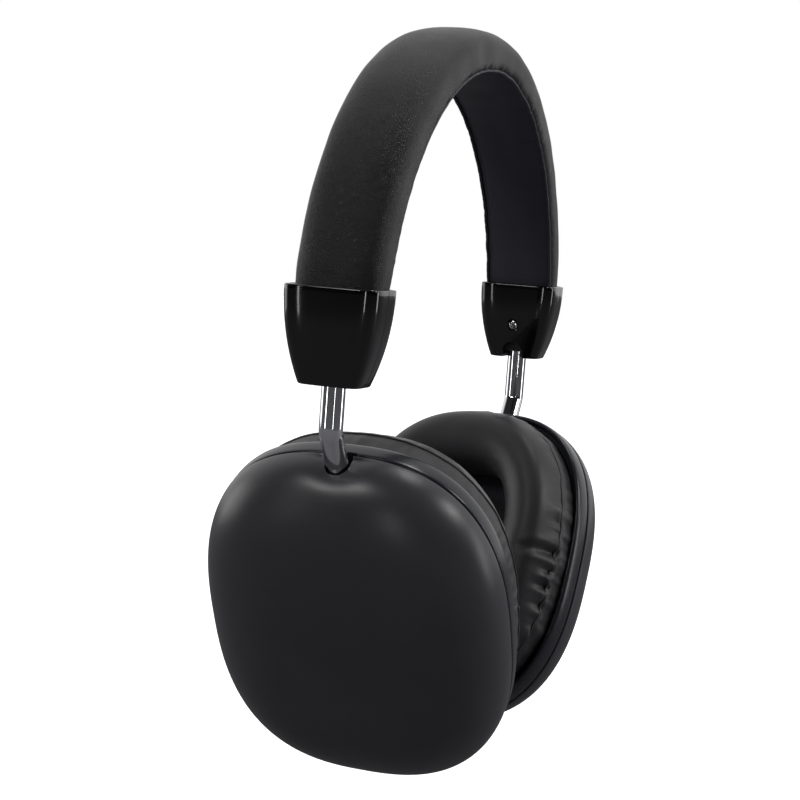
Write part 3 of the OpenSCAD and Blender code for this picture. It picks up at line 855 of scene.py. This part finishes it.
for side in SIDES:
    shell = build_shell(side)
    if side == "left":
        low, high = -CUP_H / 2 - 3, -CUP_H / 2 + 7
        cut(shell,
            prism("jack", circle(3.15, SOCKET_X, JACK_Y, 48), "z", low, high),
            prism("mic", circle(0.6, SOCKET_X, MIC_Y, 48), "z", low, high + 2),
            prism("usb", [(SOCKET_X + a, USB_Y + b) for a, b in oval(1.8, 4.7, 8, 64)], "z", low, high))
    place_on_cup(sharpen(shell, 38), side)
    settle(shell, f"cup_{side}", f"cup_shell_{side}")


# ---------- baffles ----------

# Section of the baffle as (inset from the cup's outline, depth), from behind round its lip to the pad's seat
BAFFLE_SECTION = (
    (3.6, 1.4), (2.3, 1.4), (2.2, 1.25), (2.2, -0.12), (0.8, -0.14), (0.62, -0.28), (0.5, -0.42), (0.3, -0.5),
    (0.12, -0.66), (0.03, -1.0), (0.0, -1.6), (0.02, -3.0), (0.1, -4.2), (0.26, -5.0), (0.5, -5.45),
    (0.85, -5.65), (1.2, -5.6), (1.42, -5.3), (1.5, -4.8), (1.52, -3.75), (1.65, -3.62), (2.0, -3.6),
    (2.85, -3.6), (3.0, -3.45), (3.05, -2.2), (3.3, -2.1))
DRIVER_HOLE, SCREW_HOLE = 18.8, 1.1


def build_baffle(side):
    """Rounded band round the cup's mouth, stepped back for the pad, with a round hole for the driver."""
    n = 240
    half_a, half_b = CUP_W / 2, CUP_H / 2
    rings = [[[x, y, z] for y, z in oval(half_a - inset, half_b - inset, CUP_POWER, n)]
             for inset, x in BAFFLE_SECTION]
    inner = oval(DRIVER_HOLE, DRIVER_HOLE, 2, n)
    shares = (0.25, 0.5, 0.75, 0.97, 1.0)
    for x, inset, steps in ((-2.1, 3.3, shares), (-0.1, 3.75, (*shares[::-1], 0.0))):
        outer = oval(half_a - inset, half_b - inset, CUP_POWER, n)
        rings += [[[x, *(outer[i] * (1 - f) + inner[i] * f)] for i in range(n)] for f in steps]
    rings = np.array(rings)
    body = make(f"baffle_{side}_moulding", rings.reshape(-1, 3), ring_faces(len(rings), n, True), BAFFLE)
    holes = [prism("hole", circle(SCREW_HOLE, y, z, 24), "x", -6, 4) for y in (-25, 25) for z in (-23, 23)]
    low, half = -0.8 - SLOT_EASE, SLOT_HALF + SLOT_EASE
    slot = prism("slot", [(low, -half), (3.2, -half), (3.2, half), (low, half)], "z", 36.75, 48)
    return sharpen(cut(body, slot, *holes), 38)


def build_driver_cloth(side):
    """Woven cloth stretched over the driver, drawn in a little at its glued edge."""
    n, radius, back, edge = 96, 20.4, -2.15, 0.18
    rings = []
    for r in np.linspace(0.6, radius - 0.5, 22):
        lift = 0.35 * (1 - (r / radius) ** 2) + 0.12 * math.exp(-((r - 17.6) / 0.8) ** 2)
        rings.append([[back - lift, y, z] for y, z in oval(r, r, 2, n)])
    for a in np.linspace(0, math.pi, 6):
        r = radius - edge + edge * math.sin(a)
        rings.append([[-2.18 - edge * math.cos(a), y, z] for y, z in oval(r, r, 2, n)])
    rings.append([[back, y, z] for y, z in oval(0.6, 0.6, 2, n)])
    return loft(f"driver_mesh_{side}_cloth", rings, CLOTH, [[-2.52, 0, 0], [back, 0, 0]])


# ---------- ear pads ----------

PAD_COLUMNS, PAD_POWER, PAD_STEPS = 288, 2.55, 2
# The seam is this corner of the section, at this depth
SEAM, SEAM_DEPTH = 7, {"left": -10.9, "right": -13.2}
# Skin above this depth and within this reach of the middle line is clamped to the plate
CLAMP_DEPTH, CLAMP_OUT = -5.2, 7.7
# The pads gather most about this angle round the ring, within this spread
TIGHT_PLACE, TIGHT_SPREAD = 182, 42
# Deep folds of the left pad: (angle round the ring, half width, depth, reach over the panel)
FOLDS = ((176.0, 1.6, 1.5, 8.0), (187.0, 1.0, 1.2, 3.0), (195.0, 1.0, 1.4, 3.5), (204.0, 1.0, 1.1, 3.0))


def pad_section(side):
    """Corners of the pad's section as (outwards from the ring's middle line, depth in the cup)."""
    seam = SEAM_DEPTH[side]
    if side == "right":
        beyond = [(8.75, seam), (8.7, seam - 0.55), (8.1, seam - 1.5), (7.2, -16.4), (5.6, -18.2)]
    else:
        beyond = [(8.45, seam), (8.7, seam - 1.0), (8.35, (2 * seam - 16) / 3 - 0.2),
                  (7.5, (seam - 34) / 3), (5.7, -18.3)]
    return [(7.0, -4.88), (7.2, -3.85), (7.9, -3.66), (8.6, -4.2), (8.85, -5.6), (8.95, (seam - 5.6) / 2),
            (8.95, seam + 1.5), *beyond, (3.2, -19.8), (0.2, -20.4), (-3.0, -19.7), (-5.8, -18.0),
            (-7.6, -15.4), (-8.4, -12.4), (-8.6, -9.4), (-8.5, -6.6), (-8.3, -4.7), (-7.9, -4.0), (-7.75, -4.88),
            (-4.0, -4.9), (0.0, -4.9), (4.0, -4.9)]


def smooth_loop(corners, per_side):
    """Closed Catmull-Rom curve through corners."""
    corners = np.array(corners, float)
    n = len(corners)
    points = []
    for i in range(n):
        a, b, c, d = (corners[(i + k) % n] for k in (-1, 0, 1, 2))
        for t in np.arange(per_side) / per_side:
            points.append(0.5 * (2 * b + (c - a) * t + (2 * a - 5 * b + 4 * c - d) * t * t
                                 + (3 * b - a - 3 * c + d) * t ** 3))
    return np.array(points)


def even_loop(half_a, half_b, power, count):
    """Outline points evenly spaced along its length, with their outward normals and polar angles."""
    fine = oval(half_a, half_b, power, 4000)
    closed = np.vstack([fine, fine[:1]])
    length = np.concatenate([[0], np.cumsum(np.linalg.norm(np.diff(closed, axis=0), axis=1))])
    targets = np.linspace(0, length[-1], count, endpoint=False)
    points = np.stack([np.interp(targets, length, closed[:, k]) for k in (0, 1)], 1)
    tangents = np.roll(points, -1, 0) - np.roll(points, 1, 0)
    tangents /= np.linalg.norm(tangents, axis=1)[:, None]
    return points, np.stack([tangents[:, 1], -tangents[:, 0]], 1), np.arctan2(points[:, 1], points[:, 0])


def pad_loop(count):
    """The middle line of an ear pad's ring."""
    shrink = PAD_WIDE / 2
    return even_loop(CUP_W / 2 * PAD_SCALE - shrink, CUP_H / 2 * PAD_SCALE - shrink, PAD_POWER, count)


def ring_noise(angle, waves, seed):
    """Smooth periodic noise round the ring, in about -1 to 1."""
    reach = waves / (2 * math.pi)
    return noise.noise(Vector((reach * math.cos(angle) + seed, reach * math.sin(angle) - seed, seed * 0.37)))


def fold_push(side, angle, out, run):
    """Extra sink of the pad's skin at its drawn-in folds; run is the way in from the seam."""
    if side != "left" or run < -0.5 or out < -4:
        return 0.0
    total = 0.0
    for place, half, sink, reach in FOLDS:
        across = (math.degrees(angle) % 360 - place) * 0.62 - 0.12 * run
        fade = math.exp(-(run / reach) ** 2)
        valley = math.exp(-(across / half) ** 2)
        banks = 0.4 * math.exp(-((abs(across) - 2 * half) / half) ** 2)
        total += sink * fade * (valley - banks)
    return total


def scallop(value):
    """Rounded bulges between sharp valleys, from smooth noise."""
    return 2.4 * abs(value) - 0.5


def build_pad(side):
    """Leather ear pad: a sewn ring, puffed by a cloth simulation that is pinned at its base and its seam."""
    section = smooth_loop(pad_section(side), PAD_STEPS)
    rows = len(section)
    seam_row = SEAM * PAD_STEPS
    runs = np.concatenate([[0], np.cumsum(np.linalg.norm(np.diff(section, axis=0), axis=1))])
    runs -= runs[seam_row]
    middle, normals, angles = pad_loop(PAD_COLUMNS)
    seed = 11.3 if side == "left" else 4.7
    swell = np.roll(section, -1, 0) - np.roll(section, 1, 0)
    swell = np.stack([-swell[:, 1], swell[:, 0]], 1) / np.linalg.norm(swell, axis=1)[:, None]
    if np.sum(swell * (section - section.mean(0))) < 0:
        swell = -swell
    points = []
    for j, angle in enumerate(angles):
        turned = math.degrees(angle) % 360
        tight = math.exp(-((turned - TIGHT_PLACE) / TIGHT_SPREAD) ** 2)
        strong = 0.35 + (1.25 if side == "left" else 0.75) * tight
        gather = scallop(ring_noise(angle, 62, seed)) + 0.5 * ring_noise(angle, 33, seed + 3)
        pleat = scallop(ring_noise(angle, 84, seed + 9)) + 0.6 * ring_noise(angle, 38, seed + 17)
        wander = ring_noise(angle, 40, seed + 21) + 0.6 * ring_noise(angle, 90, seed + 2)
        broad = ring_noise(angle, 9, seed + 5)
        for k, (out, depth) in enumerate(section):
            run = runs[k]
            push = 0.0
            if k >= seam_row:
                push += 0.75 * strong * gather * math.exp(-(run / 2.8) ** 2) * float(smoothstep(run / 1.2))
                push += 0.35 * broad * float(smoothstep(run / 6)) - fold_push(side, angle, out, run)
            elif depth < -3.9 and out > 8:
                share = math.sin(math.pi * np.clip((-depth - 3.7) / (-3.7 - SEAM_DEPTH[side]), 0, 1))
                push += 0.6 * (0.55 + 0.6 * tight) * pleat * share
            if out < CLAMP_OUT and depth > CLAMP_DEPTH:
                push = 0.0
            drift = 0.95 * strong * wander * math.exp(-(run / 3.0) ** 2) if out > 6 else 0.0
            u, x = out + swell[k][0] * push, depth + swell[k][1] * push + drift
            points.append([x, *(middle[j] + normals[j] * u)])
    pad = make(f"ear_pad_cover_{side}_leather", points, ring_faces(PAD_COLUMNS, rows, True), PAD)
    pins = pad.vertex_groups.new(name="pins")
    for k in range(rows):
        held = section[k][1] > CLAMP_DEPTH
        weight = 1.0 if held else 0.98 * math.exp(-(runs[k] / 1.1) ** 2)
        if weight > 0.02:
            pins.add([j * rows + k for j in range(PAD_COLUMNS)], weight, "REPLACE")
    puff(pad, 1.3, rows)
    pad.vertex_groups.clear()
    return modify(pad, "SUBSURF", levels=1, render_levels=1)


PUFF_FRAMES = 20
SWELL_ROUNDS, SWELL_SHARE, CREASE_SHARE = 10, 0.6, 0.3


def puff(obj, cap, rows):
    """Swells a pinned skin by air pressure in a short cloth simulation, each point by at most cap mm.

    A share of the broad swell is kept, and a smaller share of the fine creases it raises.
    """
    rest = coordinates(obj)
    modifier = obj.modifiers.new("cloth", "CLOTH")
    assign(modifier.settings, quality=6, mass=0.15, tension_stiffness=12, compression_stiffness=12,
           shear_stiffness=4, bending_stiffness=0.6, use_pressure=True, uniform_pressure_force=4,
           vertex_group_mass="pins", shrink_min=-0.015)
    modifier.settings.effector_weights.gravity = 0
    modifier.collision_settings.use_collision = False
    modifier.point_cache.frame_start, modifier.point_cache.frame_end = 1, PUFF_FRAMES
    scene = bpy.context.scene
    for step in range(1, PUFF_FRAMES + 1):
        scene.frame_set(step)
    apply_modifiers(obj)
    scene.frame_set(1)
    delta = (coordinates(obj) - rest).reshape(PAD_COLUMNS, rows, 3)
    swell = delta.copy()
    for _ in range(SWELL_ROUNDS):
        swell = (swell + np.roll(swell, 1, 0) + np.roll(swell, -1, 0)) / 3
        swell = (2 * swell + np.roll(swell, 1, 1) + np.roll(swell, -1, 1)) / 4
    delta = (SWELL_SHARE * swell + CREASE_SHARE * (delta - swell)).reshape(-1, 3)
    size = np.linalg.norm(delta, axis=1)[:, None]
    limit = cap * MM
    delta *= limit * np.tanh(size / limit) / np.maximum(size, 1e-9)
    obj.data.vertices.foreach_set("co", (rest + delta).ravel())
    obj.data.update()


def seam_cord(pad, side):
    """Rolled edge sewn into the pad's seam, following the puffed skin."""
    rows = len(pad_section(side)) * PAD_STEPS
    co = coordinates(pad)[:PAD_COLUMNS * rows].reshape(PAD_COLUMNS, rows, 3)[:, SEAM * PAD_STEPS] / MM
    co = (co + np.roll(co, 1, 0) + np.roll(co, -1, 0)) / 3
    return tube(f"ear_pad_seam_{side}", co, 0.34, PAD, 8, closed=True)


def build_pad_foam(side):
    """Foam ring inside the leather, held well back from it."""
    count, share, centre = 144, 0.78, np.array([0.0, -12.3])
    section = centre + (smooth_loop(pad_section(side), 1) - centre) * share
    middle, normals, _ = pad_loop(count)
    points = [[x, *(middle[j] + normals[j] * u)] for j in range(count) for u, x in section]
    return make(f"ear_pad_foam_{side}_ring", points, ring_faces(count, len(section), True), FOAM)


for side in SIDES:
    pad = build_pad(side)
    cord = seam_cord(pad, side)
    for piece, slot, node in (
            (build_baffle(side), "socket_plastic", f"baffle_{side}"),
            (build_driver_cloth(side), "grille_cloth", f"driver_mesh_{side}"),
            (build_pad_foam(side), "foam", f"ear_pad_foam_{side}"),
            (pad, "black_leather", f"ear_pad_cover_{side}"),
            (cord, "black_leather", None)):
        settle(place_on_cup(piece, side), f"cup_{side}", node)


# ---------- buttons ----------

BUTTON_X, BUTTON_WALL, BUTTON_BACK, FLANGE_HALF, BUTTON_ROUND = 4.5, 37.35, 32.75, 2.1, 0.45


def build_button(name, half_z, radius, height):
    """Button with a softly crowned face, a rounded edge and a wider flange inside the wall."""
    def loop(inset, y, clip=None):
        ring = []
        for a in turns(72):
            x = (radius - inset) * math.cos(a)
            z = (radius - inset) * math.sin(a) + math.copysign(half_z, math.sin(a)) * min(1, abs(math.sin(a)) * 4)
            if clip:
                x = max(-clip, min(clip, x))
            ring.append([BUTTON_X + x, y, height + z])
        return ring

    face = BUTTON_WALL + 0.65
    rings = [loop(-0.3, BUTTON_BACK, FLANGE_HALF), loop(-0.3, BUTTON_BACK + 0.55, FLANGE_HALF),
             loop(0.02, BUTTON_BACK + 0.57), loop(0.0, face - BUTTON_ROUND)]
    for a in np.linspace(0, math.pi / 2, 6)[1:]:
        rings.append(loop(BUTTON_ROUND * (1 - math.cos(a)), face - BUTTON_ROUND + 0.4 * math.sin(a)))
    for f in (0.75, 0.5, 0.25):
        rings.append(loop(BUTTON_ROUND + (radius - BUTTON_ROUND) * (1 - f) * 0.96, face - 0.05 * f))
    tips = [[BUTTON_X, BUTTON_BACK, height], [BUTTON_X, face, height]]
    button = sharpen(loft(name + "_cap", rings, GLOSS, tips), 45)
    settle(place_on_cup(button, "left"), name, name)


build_button("power_button", 0.0, 2.6, 8.0)
build_button("volume_up_button", 1.8, 1.7, -1.5)
build_button("volume_down_button", 1.8, 1.7, -11.0)


# ---------- camera, light, stage ----------

CAMERA_TURN = [math.radians(angle) for angle in (-69.56, 5.86, 4.19)]
CAMERA_TARGET, CAMERA_AWAY, CAMERA_LENS = Vector((-28.14, -0.02, -82.69)), 404.5, 73.2


def build_camera():
    """The photograph's camera; gives the directions back to it and to the picture's right, without its roll."""
    azimuth, elevation, roll = CAMERA_TURN
    level = math.cos(elevation)
    back = Vector((math.sin(azimuth) * level, -math.cos(azimuth) * level, math.sin(elevation)))
    right = Vector((math.cos(azimuth), math.sin(azimuth), 0))
    up = back.cross(right)
    across = math.cos(roll) * right + math.sin(roll) * up
    upright = -math.sin(roll) * right + math.cos(roll) * up
    data = bpy.data.cameras.new("camera")
    assign(data, sensor_width=36, lens=CAMERA_LENS, clip_start=0.01)
    camera = add_object("camera", data)
    place = CAMERA_TARGET * MM + back * CAMERA_AWAY * MM
    camera.matrix_world = Matrix((
        (across.x, upright.x, back.x, place.x), (across.y, upright.y, back.y, place.y),
        (across.z, upright.z, back.z, place.z), (0, 0, 0, 1)))
    bpy.context.scene.camera = camera
    return back, right


VIEW_BACK, VIEW_RIGHT = build_camera()
FOCUS = Vector((0, 0, -0.085))


def softbox(name, place, size, power, height):
    """A rectangular light that faces the object."""
    data = bpy.data.lights.new(name, "AREA")
    assign(data, shape="RECTANGLE", size=size, size_y=height, energy=power)
    lamp = add_object(name, data)
    lamp.location = place
    lamp.rotation_euler = (FOCUS - place).to_track_quat("-Z", "Y").to_euler()


def around(back, right, up):
    """A place by its distances towards the camera, to the picture's right and upwards."""
    flat = Vector((VIEW_BACK.x, VIEW_BACK.y, 0)).normalized()
    return FOCUS + flat * back + VIEW_RIGHT * right + Vector((0, 0, up))


softbox("band key", around(0.56, -0.5, 0.66), 0.22, 1.5, 0.18)
softbox("top", around(-0.06, 0.2, 0.95), 0.34, 1.3, 0.14)
softbox("top right", around(0.2, 0.75, 0.6), 0.3, 2.2, 0.24)
softbox("strip", around(0.62, -0.74, 0.05), 0.03, 0.45, 0.9)
softbox("rod streak", around(0.94, -0.2, -0.05), 0.03, 0.55, 0.6)
softbox("left card", around(-0.3, -0.95, -0.1), 0.6, 2.4, 0.9)
softbox("right", around(0.0, 0.95, -0.05), 0.2, 1.8, 0.8)


# Low enough for the cups at full extension
FLOOR_Z, FLOOR_HALF = -206.0, 3000
# Painted shade: the floor's dark colour for every ray but the camera's, so that little light reflects or bounces
# off it
FLOOR_SHADE = (0.16, 0.16, 0.17)
ROOM_EDGE, ROOM_DARK, ROOM_BRIGHT = (-0.12, 0.5), 0.02, 0.85


def build_stage():
    """Pale floor to the camera, painted dark for all other rays as painted shade, and a room whose light is
    brightest on the side of the object away from the camera.
    """
    n = Nodes("floor_paper")
    path = n.node("LightPath")
    paper = n.mix(n.remap(n.noise(60), 0.3, 0.7), (0.84, 0.84, 0.845), (0.88, 0.88, 0.885))
    # Painted shade: the dark colour for all rays but the camera's, the pale paper for the camera's own
    shade = n.mix(path.outputs["Is Camera Ray"], FLOOR_SHADE, FLOOR_SHADE)
    n.link(paper, shade.node.inputs[7])
    n.colour(shade)
    n.rough(n.remap(n.noise(20), 0.3, 0.7, 0.75, 0.9))
    n.bump((n.noise(1.0), 0.02, 0.2))
    n.link(n.math("MULTIPLY", path.outputs["Is Camera Ray"], 0.92), n.shader.inputs["Emission Strength"])
    n.set(Emission_Color=(1, 1, 1, 1))
    corners = [(x * FLOOR_HALF, y * FLOOR_HALF, FLOOR_Z) for x, y in ((-1, -1), (1, -1), (1, 1), (-1, 1))]
    make("floor", corners, [(0, 1, 2, 3)], n.material)
    world = bpy.data.worlds.new("studio")
    world.use_nodes = True
    tree = world.node_tree
    tree.nodes.clear()
    kinds = ("OutputWorld", "Background", "LightPath", "TexCoord", "VectorMath", "MapRange", "Mix")
    output, room, path, place, facing, spread, choice = (tree.nodes.new("ShaderNode" + kind) for kind in kinds)
    facing.operation = "DOT_PRODUCT"
    facing.inputs[1].default_value = (-VIEW_BACK.x, -VIEW_BACK.y, 0)
    tree.links.new(place.outputs["Generated"], facing.inputs[0])
    for key, value in zip(("From Min", "From Max", "To Min", "To Max"), (*ROOM_EDGE, ROOM_DARK, ROOM_BRIGHT)):
        spread.inputs[key].default_value = value
    spread.interpolation_type = "SMOOTHSTEP"
    tree.links.new(facing.outputs["Value"], spread.inputs["Value"])
    choice.data_type = "FLOAT"
    tree.links.new(path.outputs["Is Camera Ray"], choice.inputs[0])
    tree.links.new(spread.outputs["Result"], choice.inputs[2])
    choice.inputs[3].default_value = 1.0
    room.inputs["Color"].default_value = (1, 1, 1, 1)
    tree.links.new(choice.outputs[0], room.inputs["Strength"])
    tree.links.new(room.outputs[0], output.inputs["Surface"])
    bpy.context.scene.world = world
    bpy.context.scene.view_settings.view_transform = "Standard"


build_stage()
